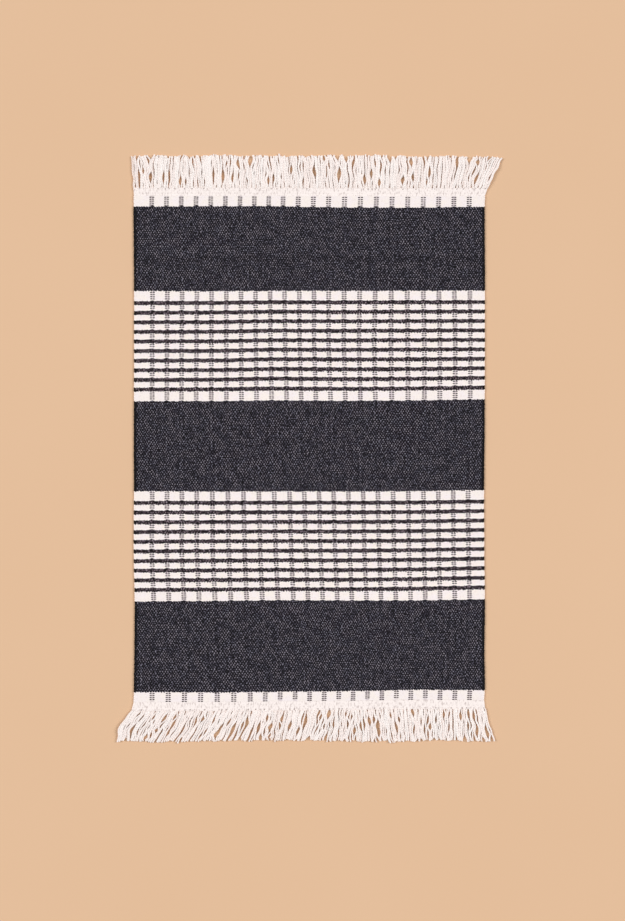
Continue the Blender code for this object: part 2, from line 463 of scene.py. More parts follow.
class Look:
    """A material built up from its nodes' sockets."""

    def __init__(self, name, roughness, sheen=0.0, on_weave=False):
        self.material = bpy.data.materials.new(name)
        self.material.use_nodes = True
        self.tree = self.material.node_tree
        self.shader = self.tree.nodes["Principled BSDF"]
        self.shader.inputs["Roughness"].default_value = roughness
        self.shader.inputs["Sheen Weight"].default_value = sheen
        self.shader.inputs["Sheen Roughness"].default_value = SHEEN_ROUGHNESS
        self.shader.inputs["Specular IOR Level"].default_value = SPECULAR
        if on_weave:
            self.place = self.made("ShaderNodeAttribute", "Vector", {}, attribute_name="woven")
        else:
            self.place = self.made("ShaderNodeTexCoord", "Object", {})
        parts = self.tree.nodes.new("ShaderNodeSeparateXYZ")
        self.tree.links.new(self.place, parts.inputs[0])
        self.x = parts.outputs["X"]
        self.y = parts.outputs["Y"]
        self.z = parts.outputs["Z"]

    def plug(self, socket, value):
        if isinstance(value, bpy.types.NodeSocket):
            self.tree.links.new(value, socket)
        else:
            socket.default_value = value

    def made(self, kind, output, inputs, **settings):
        """One output of a new node."""
        node = self.tree.nodes.new(kind)
        for name, value in settings.items():
            setattr(node, name, value)
        for name, value in inputs.items():
            self.plug(node.inputs[name], value)
        return node.outputs[output]

    def math(self, operation, *values):
        return self.made("ShaderNodeMath", 0, dict(enumerate(values)), operation=operation)

    def noise(self, size, detail=2.0, stretch=(1.0, 1.0, 1.0)):
        """Soft noise from 0 to 1 whose lumps are about as large as size."""
        factors = {0: self.place, 1: [s / size for s in stretch]}
        scaled = self.made("ShaderNodeVectorMath", 0, factors, operation="MULTIPLY")
        return self.made("ShaderNodeTexNoise", "Fac", {"Scale": 1.0, "Detail": detail, "Vector": scaled})

    def wave(self, turns):
        """A cosine of a number of turns."""
        return self.math("COSINE", self.math("MULTIPLY", turns, 2 * math.pi))

    def spread(self, value, low, high, to_low=0.0, to_high=1.0):
        inputs = {"Value": value, "From Min": low, "From Max": high, "To Min": to_low, "To Max": to_high}
        return self.made("ShaderNodeMapRange", "Result", inputs, interpolation_type="SMOOTHSTEP")

    def blend(self, share, first, second):
        """One colour or the other, by share."""
        inputs = {"Factor": share, "A": first, "B": second}
        return self.made("ShaderNodeMix", "Result", inputs, data_type="RGBA")

    def tinted(self, colour, tint):
        inputs = {"Factor": 1.0, "A": colour, "B": tint}
        return self.made("ShaderNodeMix", "Result", inputs, data_type="RGBA", blend_type="MULTIPLY")

    def ramp(self, value, stops):
        """A colour for a value, between stops of place and colour."""
        node = self.tree.nodes.new("ShaderNodeValToRGB")
        elements = node.color_ramp.elements
        while len(elements) < len(stops):
            elements.new(1.0)
        for element, (place, colour) in zip(elements, stops):
            element.position = place
            element.color = colour
        self.plug(node.inputs["Fac"], value)
        return node.outputs["Color"]

    def attribute(self, name):
        return self.made("ShaderNodeAttribute", "Fac", {}, attribute_name=name)

    def colour(self, value):
        self.plug(self.shader.inputs["Base Color"], value)

    def bump(self, height, depth, strength=1.0):
        node = self.tree.nodes.new("ShaderNodeBump")
        node.inputs["Distance"].default_value = depth
        node.inputs["Strength"].default_value = strength
        self.plug(node.inputs["Height"], height)
        self.tree.links.new(node.outputs["Normal"], self.shader.inputs["Normal"])


def srgb(red, green, blue):
    """A colour given as it looks on a screen, 0 to 255, in the linear values that a shader takes."""
    def linear(value):
        share = value / 255
        return share / 12.92 if share <= 0.04045 else ((share + 0.055) / 1.055) ** 2.4
    return linear(red), linear(green), linear(blue), 1.0


# The dark weave. Its picks drift a little, which is given as the lumps' size and how many picks or groups
# they shift by. Patches differ in how clear the twill is, and blotches in how light the yarn is. The shade
# at a selvedge is full up to the first distance, gone at the second, and so much lighter.
PICK = 1.72 * MM
STEEP_SHARE = 0.35
DRIFT_ACROSS = (22 * MM, 1.2)
DRIFT_ALONG = (30 * MM, 2.0)
PATCH_SIZE = 14 * MM
PATCH_CLARITY = (0.24, 0.42)
BLOTCH_SIZE = 18 * MM
BLOTCH_STRENGTH = 0.4
REED_MARK = 11.8 * MM
REED_STRENGTH = 0.03
SELVEDGE_SHADE = (3.0 * MM, 4.8 * MM, -0.7)
TINT_SIZE = 14 * MM
COOL_TINT = (244, 248, 255)
WARM_TINT = (254, 250, 251)

# A faint band across the far dark band, paler and then darker: how far down each half lies, half its
# height, and how much lighter it is
FAINT_BANDS = (
    (96 * MM, 7 * MM, 0.05),
    (106.5 * MM, 8 * MM, -0.08),
)


def dark_weave(name, stops, level, relief, contrast, grain):
    """Dark broken twill: the floats of four picks in turn, as the three waves that make them up.

    Each float has its own tone. The waves are painted light along each float and painted shade between
    the floats, and they make its bump too. Level is how light it is, relief how much the waves show,
    contrast how much the floats differ, and grain how far across and along they stay alike.
    """
    look = Look(name, roughness=0.9, sheen=0.05, on_weave=True)
    size, groups = DRIFT_ACROSS
    across = look.math("MULTIPLY_ADD", look.noise(size), groups, look.math("DIVIDE", look.x, WARP_PITCH))
    size, picks = DRIFT_ALONG
    along = look.math("MULTIPLY_ADD", look.noise(size), picks, look.math("DIVIDE", look.y, PICK))
    rising = look.wave(look.math("MULTIPLY_ADD", along, 0.25, across))
    falling = look.wave(look.math("MULTIPLY_ADD", along, -0.25, look.math("ADD", across, -0.25)))
    steep = look.wave(look.math("MULTIPLY_ADD", along, 0.5, look.math("ADD", across, 0.125)))
    # Painted light on each float and painted shade between the floats
    floats = look.math("MULTIPLY_ADD", steep, STEEP_SHARE, look.math("ADD", rising, falling))
    wide, long = grain
    own = look.math("SUBTRACT", look.noise(wide, 0.0, (1.0, wide / long, 1.0)), 0.5)
    patch = look.spread(look.noise(PATCH_SIZE), *LUMPS, *PATCH_CLARITY)
    tone = look.math("MULTIPLY_ADD", floats, look.math("MULTIPLY", patch, relief), level)
    tone = look.math("MULTIPLY_ADD", own, contrast, tone)
    blotch = look.math("SUBTRACT", look.noise(BLOTCH_SIZE), 0.5)
    tone = look.math("MULTIPLY_ADD", blotch, BLOTCH_STRENGTH, tone)
    reed = look.wave(look.math("DIVIDE", look.x, REED_MARK))
    tone = look.math("MULTIPLY_ADD", reed, REED_STRENGTH, tone)
    for middle, half, lighter in FAINT_BANDS:
        away = look.math("ABSOLUTE", look.math("SUBTRACT", look.y, middle))
        tone = look.math("ADD", tone, look.spread(away, 0.0, half, lighter, 0.0))
    inward = look.math("MINIMUM", look.x, look.math("SUBTRACT", CLOTH_WIDTH, look.x))
    full, gone, lighter = SELVEDGE_SHADE
    tone = look.math("ADD", tone, look.spread(inward, full, gone, lighter, 0.0))
    colour = look.ramp(tone, stops)
    warm = look.spread(look.noise(TINT_SIZE, 1.0), *LUMPS)
    look.colour(look.tinted(colour, look.blend(warm, srgb(*COOL_TINT), srgb(*WARM_TINT))))
    look.bump(tone, depth=0.4 * MM, strength=0.3)
    return look.material


# The undyed ground. Specks, like the hollows and fibres below, show over a part of the noise's range.
PLAIN_PICK = FLOAT_PITCH / 2
PICK_SHARE = 0.35
WARP_SHARE = 0.15
MOTTLE_SIZE = 14 * MM
SPECK_SIZE = 2.6 * MM
SPECKS = (0.5, 0.8)
GROUND_FIBRE = 1.4 * MM
GROUND_TONES = (srgb(255, 247, 239), srgb(252, 244, 248))
GROUND_SPECK = srgb(240, 227, 224)
PAINTED_WEAVE_SHADE = srgb(240, 228, 224)
GROUND_OVER_DARK = srgb(138, 116, 130)


def plain_weave():
    """The undyed ground, with faint picks and painted shade where they lie low, and greyer where the dark
    warp lies just under it.
    """
    look = Look("undyed_plain_weave", roughness=0.92, sheen=0.05, on_weave=True)
    pick = look.wave(look.math("DIVIDE", look.y, PLAIN_PICK))
    warp = look.wave(look.math("DIVIDE", look.x, COLUMN))
    mottle = look.spread(look.noise(MOTTLE_SIZE), *LUMPS)
    fibre = look.noise(GROUND_FIBRE)
    speck = look.spread(look.noise(SPECK_SIZE, 0.0), *SPECKS)
    height = look.math("MULTIPLY_ADD", warp, WARP_SHARE, fibre)
    height = look.math("MULTIPLY_ADD", pick, PICK_SHARE, height)
    base = look.blend(mottle, *GROUND_TONES)
    base = look.blend(speck, base, GROUND_SPECK)
    # Painted shade where the picks and warp groups lie low
    base = look.blend(look.spread(height, 0.0, 1.0), PAINTED_WEAVE_SHADE, base)
    look.colour(look.blend(look.attribute("dark_warp"), base, GROUND_OVER_DARK))
    look.bump(height, depth=0.25 * MM, strength=0.4)
    return look.material


# The strands, with painted warm shade low down for the floor's bounced light, and painted shade in their
# fibres' hollows
YARN_FIBRE = 1.1 * MM
YARN_FIBRES = (0.2, 0.6)
YARN_TONES = (srgb(253, 240, 235), srgb(255, 249, 246))
PAINTED_FIBRE_SHADE = srgb(248, 234, 229)
PAINTED_BOUNCE_HEIGHTS = (0.6 * MM, 3.0 * MM)
PAINTED_BOUNCE_SHADE = srgb(236, 194, 164)


def undyed_yarn():
    """Loosely twisted off-white cotton, each strand of its own slight tone, with painted shade in its hollows
    and low down.
    """
    look = Look("undyed_cotton_yarn", roughness=0.92, sheen=0.5)
    fibre = look.noise(YARN_FIBRE)
    base = look.blend(look.attribute("tone"), *YARN_TONES)
    # Painted shade in the hollows of the fibres
    base = look.blend(look.spread(fibre, *YARN_FIBRES), PAINTED_FIBRE_SHADE, base)
    # Painted shade, warmer and darker low down, standing in for the floor's bounced light
    look.colour(look.blend(look.spread(look.z, *PAINTED_BOUNCE_HEIGHTS), PAINTED_BOUNCE_SHADE, base))
    look.bump(fibre, depth=0.2 * MM, strength=0.3)
    return look.material


# The bound cotton, its hollows longer along the rug than across it, with painted shade in them
HOLLOW_SIZE = 2.2 * MM
HOLLOW_STRETCH = (1.0, 0.38, 1.0)
HOLLOWS = (0.52, 0.8)
HOLLOW_STRENGTH = 0.6
BOUND_COTTON = srgb(251, 240, 236)
PAINTED_HOLLOW_SHADE = srgb(186, 170, 166)
PAINTED_SHADE_AND_DARK_WARP = srgb(120, 104, 100)


def bound_yarn():
    """The same cotton bound close, with painted shade in the small hollows between its turns and where the
    heading dips, greyer over the dark warp.
    """
    look = Look("bound_cotton_yarn", roughness=0.92, sheen=0.1)
    hollow = look.spread(look.noise(HOLLOW_SIZE, 0.0, HOLLOW_STRETCH), *HOLLOWS, 0.0, HOLLOW_STRENGTH)
    # Painted shade in the hollows between the turns
    base = look.blend(hollow, BOUND_COTTON, PAINTED_HOLLOW_SHADE)
    # Painted shade where the heading dips at its stitches, hollows and strand roots, and grey where dark warp
    # lies under it
    look.colour(look.blend(look.attribute("shade"), base, PAINTED_SHADE_AND_DARK_WARP))
    look.bump(hollow, depth=-0.3 * MM, strength=0.4)
    return look.material


DARK_FIBRE = 0.9 * MM
DARK_FIBRES = (0.6, 0.9)
DARK_HIGH = srgb(96, 86, 90)
DUST = srgb(150, 138, 140)


def dark_yarn(name, darkest):
    """Dark cotton, of the small floats or the selvedges, paler where the ground's fibres dust it over."""
    look = Look(name, roughness=0.9, sheen=0.02)
    fibre = look.noise(DARK_FIBRE)
    base = look.blend(look.attribute("tone"), darkest, DUST)
    look.colour(look.blend(look.spread(fibre, *DARK_FIBRES), base, DARK_HIGH))
    look.bump(fibre, depth=0.3 * MM, strength=0.5)
    return look.material


CHARCOAL = [
    (0.0, srgb(7, 4, 9)),
    (0.5, srgb(65, 60, 71)),
    (1.0, srgb(139, 135, 144)),
]
BROWN_CHARCOAL = [
    (0.0, srgb(14, 8, 10)),
    (0.5, srgb(75, 61, 67)),
    (1.0, srgb(142, 127, 133)),
]
TWILL = dark_weave(
    "charcoal_twill", CHARCOAL, level=0.11, relief=1.05, contrast=2.1, grain=(3.4 * MM, 2.0 * MM)
)
LINE = dark_weave(
    "charcoal_line", BROWN_CHARCOAL, level=0.12, relief=0.9, contrast=3.2, grain=(2.2 * MM, 3.6 * MM)
)
PLAIN = plain_weave()
YARN = undyed_yarn()
BOUND_YARN = bound_yarn()
FLOAT_YARN = dark_yarn("dark_float_yarn", srgb(30, 16, 25))
SELVEDGE_YARN = dark_yarn("dark_selvedge_yarn", srgb(7, 4, 4))


# The cloth


def stripe_tops():
    """Each stripe with how far down it starts."""
    down = 0.0
    for stripe in STRIPES:
        yield down, stripe
        down += stripe.height


def cloth_rows():
    """The grid's row lines, how far down they lie, and the weave of each row between them."""
    downs = [0.0]
    weaves = []
    for top, stripe in stripe_tops():
        count = max(2, round(stripe.height / ROW_HEIGHTS[stripe.weave]))
        downs += [top + stripe.height * (row + 1) / count for row in range(count)]
        weaves += [stripe.weave] * count
    return np.array(downs), weaves


def cloth_columns():
    """The grid's column lines: two to each warp group, in step with the tick columns."""
    steps_before = int((FIRST_TICK - LEAST_COLUMN) / COLUMN)
    steps_after = int((CLOTH_WIDTH - FIRST_TICK - LEAST_COLUMN) / COLUMN)
    inner = FIRST_TICK + COLUMN * np.arange(-steps_before, steps_after + 1)
    return np.concatenate([[0.0], inner, [CLOTH_WIDTH]])


def tick_steps(across):
    """How many grid columns a place lies from the nearest tick column, and which tick that is."""
    tick = np.clip(np.round((across - FIRST_TICK) / TICK_PITCH), 0, TICK_COUNT - 1)
    return (across - FIRST_TICK - tick * TICK_PITCH) / COLUMN, tick.astype(int)


def cloth_height(across, down):
    """The top of the cloth, which doesn't lie quite flat."""
    sway = ROLL_SWAY * np.sin(down / ROLL_SWAY_LENGTH)
    rolling = ROLL_ACROSS * np.sin(across / ROLL_WIDTH + sway)
    return CLOTH_TOP + rolling + ROLL_ALONG * np.sin(down / ROLL_LENGTH + ROLL_START)


def fuzz(tick, stripe):
    """How much the ground's fibres cover the dark warp of one tick column in one stripe, 0 to 1."""
    return random.Random(1000 * stripe + int(tick)).random()


def make_cloth():
    """The woven sheet, toothed where dark weft meets undyed weft."""
    downs, weaves = cloth_rows()
    columns = cloth_columns()
    across, down = np.meshgrid(columns, downs)
    x, y = on_cloth(across, down)
    z = cloth_height(across, down)
    steps, ticks = tick_steps(columns)
    at_tick = np.abs(steps) < TICK_TOOTH_STEPS
    tooth = np.where(np.arange(len(columns)) % 2 == 0, 1.0, -1.0)
    rng = np.random.default_rng(TEETH_SEED)
    for row in range(1, len(downs) - 1):
        above, below = weaves[row - 1], weaves[row]
        if above == "plain" and below != "plain":
            teeth = FAR_TOOTH * tooth * rng.uniform(*TOOTH_SHARES, len(columns))
            y[row] += teeth + TICK_TOOTH * at_tick
        elif above != "plain" and below == "plain":
            y[row] += NEAR_TOOTH * tooth * rng.uniform(*TOOTH_SHARES, len(columns))
        elif above == below == "line":
            z[row] += LINE_RISE
        elif above == below == "twill":
            z[row] += TWILL_RELIEF * tooth * (1 if row % 2 else -1)
        else:
            z[row] += PLAIN_RELIEF * tooth
    z[:, [0, -1]] = RIM_TOP
    points, faces = closed_sheet(x, y, z)
    kinds = [WEAVES.index(weave) for weave in weaves]
    strips = np.repeat(kinds, len(columns) - 1)
    end_walls = [0, 0]
    face_materials = np.concatenate([strips, kinds, kinds, kinds, end_walls]).astype(np.int32)
    cloth = make_piece("woven_cloth_sheet", points, faces, [PLAIN, LINE, TWILL], face_materials)
    add_attribute(cloth, "dark_warp", dark_warp_shows(downs, steps, ticks, len(points)))
    woven = np.zeros((len(points), 3))
    woven[:across.size, 0] = across.ravel()
    woven[:across.size, 1] = down.ravel()
    woven[across.size:, 0] = np.repeat([0, CLOTH_WIDTH], len(downs))
    woven[across.size:, 1] = np.tile(downs, 2)
    add_attribute(cloth, "woven", woven)
    add_bake_map(cloth, across.size)
    return cloth


def dark_warp_shows(downs, steps, ticks, count):
    """How much the dark warp shows through at each of the cloth's points, of which the grid's come first."""
    shows = np.zeros(count)
    tops = [top for top, _ in stripe_tops()]
    least, most = WARP_SHOW
    for row, down in enumerate(downs):
        stripe = int(np.searchsorted(tops, down + HAIR)) - 1
        for column in np.flatnonzero(np.abs(steps) < WARP_SHOW_STEPS):
            shows[row * len(steps) + column] = least + (most - least) * fuzz(ticks[column], stripe)
    return shows


BAKE_MARGIN = 2 * MM


def add_bake_map(cloth, top_points):
    """A map of the cloth as seen from above, for a bake. The underside shares it, its rim pushed outwards."""
    points = np.array([p.co for p in cloth.data.vertices])
    middle = points[:, :2].mean(0)
    pushed = np.arange(len(points)) >= top_points
    points[pushed, :2] += np.sign(points[pushed, :2] - middle) * BAKE_MARGIN
    half = np.abs(points[:, :2] - middle).max(0) + BAKE_MARGIN
    places = (points[:, :2] - middle) / (2 * half) + 0.5
    corners = np.zeros(len(cloth.data.loops), np.int32)
    cloth.data.loops.foreach_get("vertex_index", corners)
    layer = cloth.data.uv_layers.new(name="OFBake")
    layer.uv.foreach_set("vector", places[corners].astype(np.float32).ravel())


# The small dark floats and the selvedge loops are all low pillows


PILLOW_SIDES = 8
PILLOW_RINGS = ((1.0, 0.0), (0.8, 0.7), (0.4, 0.95))
PILLOW_ROUNDING = 0.6


def pillows(places):
    """Points and faces of many low pillows, each given as x, y, base, half width, half length and height.

    Their outline lies between a circle and a square.
    """
    turns = np.arange(PILLOW_SIDES) * 2 * math.pi / PILLOW_SIDES
    round_x = np.sign(np.cos(turns)) * np.abs(np.cos(turns)) ** PILLOW_ROUNDING
    round_y = np.sign(np.sin(turns)) * np.abs(np.sin(turns)) ** PILLOW_ROUNDING
    points = []
    faces = []
    for x, y, base, half_width, half_length, height in places:
        start = len(points)
        for share, lift in PILLOW_RINGS:
            for dx, dy in zip(round_x, round_y):
                place = (x + dx * half_width * share, y + dy * half_length * share, base + height * lift)
                points.append(place)
        for ring in range(len(PILLOW_RINGS) - 1):
            low = start + ring * PILLOW_SIDES
            for side in range(PILLOW_SIDES):
                after = (side + 1) % PILLOW_SIDES
                faces.append((low + side, low + after, low + PILLOW_SIDES + after, low + PILLOW_SIDES + side))
        last = start + (len(PILLOW_RINGS) - 1) * PILLOW_SIDES
        faces.append(tuple(range(last, last + PILLOW_SIDES)))
        faces.append(tuple(range(start + PILLOW_SIDES - 1, start - 1, -1)))
    return points, faces


# The floats' sizes and how far one strays, in millimetres, and how pale the fibres over it and chance make it
FLOAT_HALF_WIDTHS = (2.2, 2.4)
FLOAT_HALF_LENGTHS = (0.85, 1.05)
FLOAT_STRAY = 0.2
FLOAT_SUNK = 0.2 * MM
FLOAT_HEIGHT = 0.65 * MM
FLOAT_DUST = 0.15
FLOAT_TONES = (0.0, 0.06)
FLOAT_SEED = 5


def make_floats():
    """The dark warp that comes up in pairs of small floats, in rows across each plain stripe."""
    rng = random.Random(FLOAT_SEED)
    places = []
    tones = []
    for number, (top, stripe) in enumerate(stripe_tops()):
        for row in range(stripe.floats):
            down = top + stripe.first + FLOAT_PITCH * row
            for tick in range(TICK_COUNT):
                cover = fuzz(tick, number)
                beside_near_heading = stripe is STRIPES[-1] and row == stripe.floats - 1
                if beside_near_heading and rng.random() < HIDDEN_FLOATS:
                    continue
                for side in (-1, 1):
                    across = FIRST_TICK + TICK_PITCH * tick + side * FLOAT_APART / 2
                    x, y = on_cloth(across, down)
                    x += rng.uniform(-FLOAT_STRAY, FLOAT_STRAY) * MM
                    y += rng.uniform(-FLOAT_STRAY, FLOAT_STRAY) * MM
                    half_width = rng.uniform(*FLOAT_HALF_WIDTHS) * MM
                    half_length = rng.uniform(*FLOAT_HALF_LENGTHS) * MM
                    base = cloth_height(across, down) - FLOAT_SUNK
                    places.append((x, y, base, half_width, half_length, FLOAT_HEIGHT))
                    tones.append(FLOAT_DUST * cover + rng.uniform(*FLOAT_TONES))
    points, faces = pillows(places)
    floats = make_piece("dark_warp_floats", points, faces, [FLOAT_YARN])
    add_attribute(floats, "tone", np.repeat(tones, PILLOW_SIDES * len(PILLOW_RINGS)))
    return floats


# The selvedge loops, their places and heights left to chance in millimetres
LOOP_PITCH = 3.43 * MM
LOOP_INWARD = (0.5, 1.2)
LOOP_BASE = 0.3 * MM
LOOP_HALF_WIDTH = 1.5 * MM
LOOP_HALF_LENGTH = 1.75 * MM
LOOP_HEIGHTS = (2.6, 3.0)
UNDYED_LOOP_TONE = 0.5
LOOP_SEED = 8


def make_selvedges():
    """The weft's turns along both selvedges, dark or undyed as the stripe is."""
    rng = random.Random(LOOP_SEED)
    places = []
    kinds = []
    for across in (0.0, CLOTH_WIDTH):
        inward = 1 if across == 0.0 else -1
        for top, stripe in stripe_tops():
            count = max(1, round(stripe.height / LOOP_PITCH))
            for turn in range(count):
                down = top + stripe.height * (turn + 0.5) / count
                x, y = on_cloth(across, down)
                x += inward * rng.uniform(*LOOP_INWARD) * MM
                height = rng.uniform(*LOOP_HEIGHTS) * MM
                places.append((x, y, LOOP_BASE, LOOP_HALF_WIDTH, LOOP_HALF_LENGTH, height))
                kinds.append(0 if stripe.weave == "plain" else 1)
    points, faces = pillows(places)
    faces_each = len(faces) // len(places)
    face_materials = np.repeat(kinds, faces_each).astype(np.int32)
    loops = make_piece("selvedge_loops", points, faces, [YARN, SELVEDGE_YARN], face_materials)
    tones = [UNDYED_LOOP_TONE * (1 - kind) for kind in kinds]
    add_attribute(loops, "tone", np.repeat(tones, len(points) // len(places)))
    return loops


# The headings and fringes


def heading_place(end, share, outer):
    """A place on the heading, from its inner edge, where outer is 0, to its outer edge, where it is 1."""
    down = CLOTH_LENGTH if end.side < 0 else 0.0
    x, y = on_cloth(share * CLOTH_WIDTH, down)
    left_flare, right_flare = end.flares
    flare = right_flare * share - left_flare * (1 - share)
    return x + flare * outer, y + end.side * (HEADING_GAP + end.depth * outer)


# The heading's shape: its ribs, its two cords by their place from the inner edge and their height, and how
# far its stitched line, its outer edge and its short ends lie lower
HEADING_TOP = 2.5 * MM
HEADING_COLUMN = 1.07 * MM
HEADING_ROWS = 12
HEADING_RIB = 0.22 * MM
INNER_SHARE = 1 / 6
HEADING_CORDS = ((0.38, 0.25 * MM), (0.78, 0.3 * MM))
CORD_WIDTH = 0.13
CORD_RIPPLE = 0.3
CORD_SHIFT = 6
STITCH_COLUMNS = 4
STITCH_DEPTH = 0.15 * MM
OUTER_DROP = 0.15 * MM
SIDE_DROP = 0.5 * MM
HOLLOW_DEPTH = 0.8 * MM

# Its small hollows: the rows and columns of its grid where they lie, and how deep they may be, in shares of
# 1.
# The same shares darken them with painted shade.
DIMPLE_ROWS = (4, 7)
DIMPLE_PITCH = 7
DIMPLE_MARGIN = 3
DIMPLE_SHADES = (0.05, 0.35)
STITCH_SHADES = (0.0, 0.0, 0.04, 0.1, 0.25)
ROOT_ROW = 10
ROOT_SHADES = (0.0, 0.15, 0.4, 0.7)
WARP_ROWS = (2, 8)
WARP_SHADES = (0.05, 0.25)
WARP_NEARNESS = 0.25


def heading_shade(end, shares):
    """Where the heading lies in its own small hollows, darkened there with painted shade: stitch holes,
    parted ends and dark warp under it.
    """
    rng = random.Random(end.seed)
    shade = np.zeros(shares.shape)
    count = shares.shape[1]
    shade[0] = [rng.choice(STITCH_SHADES) for _ in range(count)]
    for row in DIMPLE_ROWS:
        for column in range(DIMPLE_MARGIN, count - DIMPLE_MARGIN - 1, DIMPLE_PITCH):
            start = column + rng.randint(-1, 1)
            shade[row, start:start + 2] = rng.uniform(*DIMPLE_SHADES)
    for column in range(DIMPLE_MARGIN, count - DIMPLE_MARGIN - 1, DIMPLE_PITCH):
        start = column + rng.randint(-2, 2)
        shade[ROOT_ROW:, start:start + 2] = rng.choice(ROOT_SHADES)
    steps, _ = tick_steps(shares[0] * CLOTH_WIDTH)
    for column in np.flatnonzero(np.abs(np.abs(steps) - 1) < WARP_NEARNESS):
        shade[1:rng.randint(*WARP_ROWS), column] += rng.uniform(*WARP_SHADES)
    return shade


def make_heading(end):
    """The bound edge: warp ends side by side, crossed by two soft cords, and stitched along the cloth."""
    count = round(CLOTH_WIDTH / HEADING_COLUMN)
    column = np.arange(count + 1)
    shares, outers = np.meshgrid(np.linspace(0, 1, count + 1), np.linspace(0, 1, HEADING_ROWS + 1))
    x, y = heading_place(end, shares, outers)
    cloth_end = CLOTH_LENGTH if end.side < 0 else 0.0
    step_up = cloth_height(shares * CLOTH_WIDTH, cloth_end) - HEADING_TOP
    z = HEADING_TOP + step_up * np.clip(1 - outers / INNER_SHARE, 0, 1)
    z = z + HEADING_RIB * np.cos(column * math.pi) * outers
    for middle, height in HEADING_CORDS:
        cord = np.exp(-(((outers - middle) / CORD_WIDTH) ** 2))
        ripple = CORD_RIPPLE * np.cos(column * math.pi / 2 + CORD_SHIFT * middle)
        z = z + height * cord * (1 + ripple)
    z[0] -= STITCH_DEPTH * (column % STITCH_COLUMNS < STITCH_COLUMNS / 2)
    z[-1] -= OUTER_DROP
    z[:, [0, -1]] -= SIDE_DROP
    shade = heading_shade(end, shares)
    z -= HOLLOW_DEPTH * shade
    if end.side < 0:
        x, y, z, shade = x[:, ::-1], y[:, ::-1], z[:, ::-1], shade[:, ::-1]
    points, faces = closed_sheet(x[::-1], y[::-1], z[::-1])
    heading = make_piece(end.name + "_heading", points, faces, [BOUND_YARN])
    under_it = np.zeros(len(points) - shade.size)
    add_attribute(heading, "shade", np.append(shade[::-1].ravel(), under_it))
    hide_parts(end.node)
    return heading


# An opening between strands, by its place at the heading, and the kinds that are left to chance: how far
# out they lie, how many millimetres they push a strand aside, and their half lengths
Opening = namedtuple("Opening", "root out half_width half_length")
Kind = namedtuple("Kind", "outs half_widths half_lengths")
ROOT_SLIT = Kind((0.0, 0.2), (0.9, 1.5), (0.05, 0.17))
GAP = Kind((0.15, 0.8), (1.4, 2.2), (0.09, 0.2))
SLIT = Kind((0.12, 0.95), (0.9, 1.4), (0.06, 0.18))
NOTCH_HALF_WIDTHS = (1.8, 3.4)
NOTCH_HALF_LENGTHS = (0.06, 0.13)
ROOT_SLIT_PITCH = 7.5 * MM
ROOT_SLIT_STRAY = (0.2, 0.8)
TIP_NOTCHES = 8
ROOT_ROUNDS = 8


def strand_x(end, share, out):
    """Where a straight strand lies along X, by its place at the heading and how far out."""
    root_x, _ = heading_place(end, share, 1.0)
    bowed = out + between(end.lies, share, "bow") * math.sin(math.pi * out)
    return root_x + between(end.lies, share, "sideways") * bowed


def charted_opening(end, spot):
    """An opening at its own place in the fringe, followed back in rounds to the heading."""
    x = spot.across * MM - CLOTH_WIDTH / 2
    root = spot.across * MM
    for _ in range(ROOT_ROUNDS):
        root += x - strand_x(end, root / CLOTH_WIDTH, spot.out)
    return Opening(root, spot.out, spot.half_width * MM, spot.half_length)


def left_to_chance(rng, root, kind):
    """An opening of a kind."""
    out = rng.uniform(*kind.outs)
    half_width = rng.uniform(*kind.half_widths) * MM
    return Opening(root, out, half_width, rng.uniform(*kind.half_lengths))


def make_openings(end, rng):
    """The slits and openings between strands: at their roots, along them and at their tips."""
    found = [charted_opening(end, spot) for spot in end.spots]
    for slit in range(int(CLOTH_WIDTH / ROOT_SLIT_PITCH)):
        root = (slit + rng.uniform(*ROOT_SLIT_STRAY)) * ROOT_SLIT_PITCH
        found.append(left_to_chance(rng, root, ROOT_SLIT))
    for kind, count in ((GAP, end.openings), (SLIT, end.slits)):
        for _ in range(count):
            root = rng.uniform(0, CLOTH_WIDTH)
            found.append(left_to_chance(rng, root, kind))
    for _ in range(TIP_NOTCHES):
        root = rng.uniform(0, CLOTH_WIDTH)
        half_width = rng.uniform(*NOTCH_HALF_WIDTHS) * MM
        found.append(Opening(root, 1.0, half_width, rng.uniform(*NOTCH_HALF_LENGTHS)))
    return found


PUSH_REACH = 15 * MM
PUSH_FADE = 4 * MM


def pushed_aside(root, out, openings):
    """How far the openings push a strand aside, all along it."""
    push = np.zeros(len(out))
    for opening in openings:
        away = root - opening.root
        if abs(away) < PUSH_REACH:
            near = math.copysign(math.exp(-abs(away) / PUSH_FADE), away)
            push += opening.half_width * near * np.exp(-(((out - opening.out) / opening.half_length) ** 2))
    return push


# How strands differ, in millimetres: a few stray to a side or end short, neighbours wave and end together
# over a few lengths, and each wavers a little on its own
LEAN_SPREAD = 0.9
STRAY_SHARE = 0.1
STRAY_LEAN = 9
REACH_SPREAD = 0.9
SHORT_SHARE = 0.07
SHORT_BY = (2, 6)
WAVE_WIDTH = 16 * MM
WAVE_RATE = 2.6
WAVE_SIZE = 3.8 * MM
UNEVEN_WIDTH = 13 * MM
UNEVEN_SIZE = 3.0 * MM
UNEVEN_SEED = 5
WAVER_SPREAD = 0.4
WAVER_TURNS = 2.5

# Strands lie over one another, in layers of so many millimetres above the floor, and start a little inside
# the heading
LAYERS = (0.1, 0.5, 1.0, 1.5)
LAYER_END = 1.05
LAYER_ROUNDING = 0.8
FLOOR_CLEARANCE = 1.02
STRAND_START = -0.02


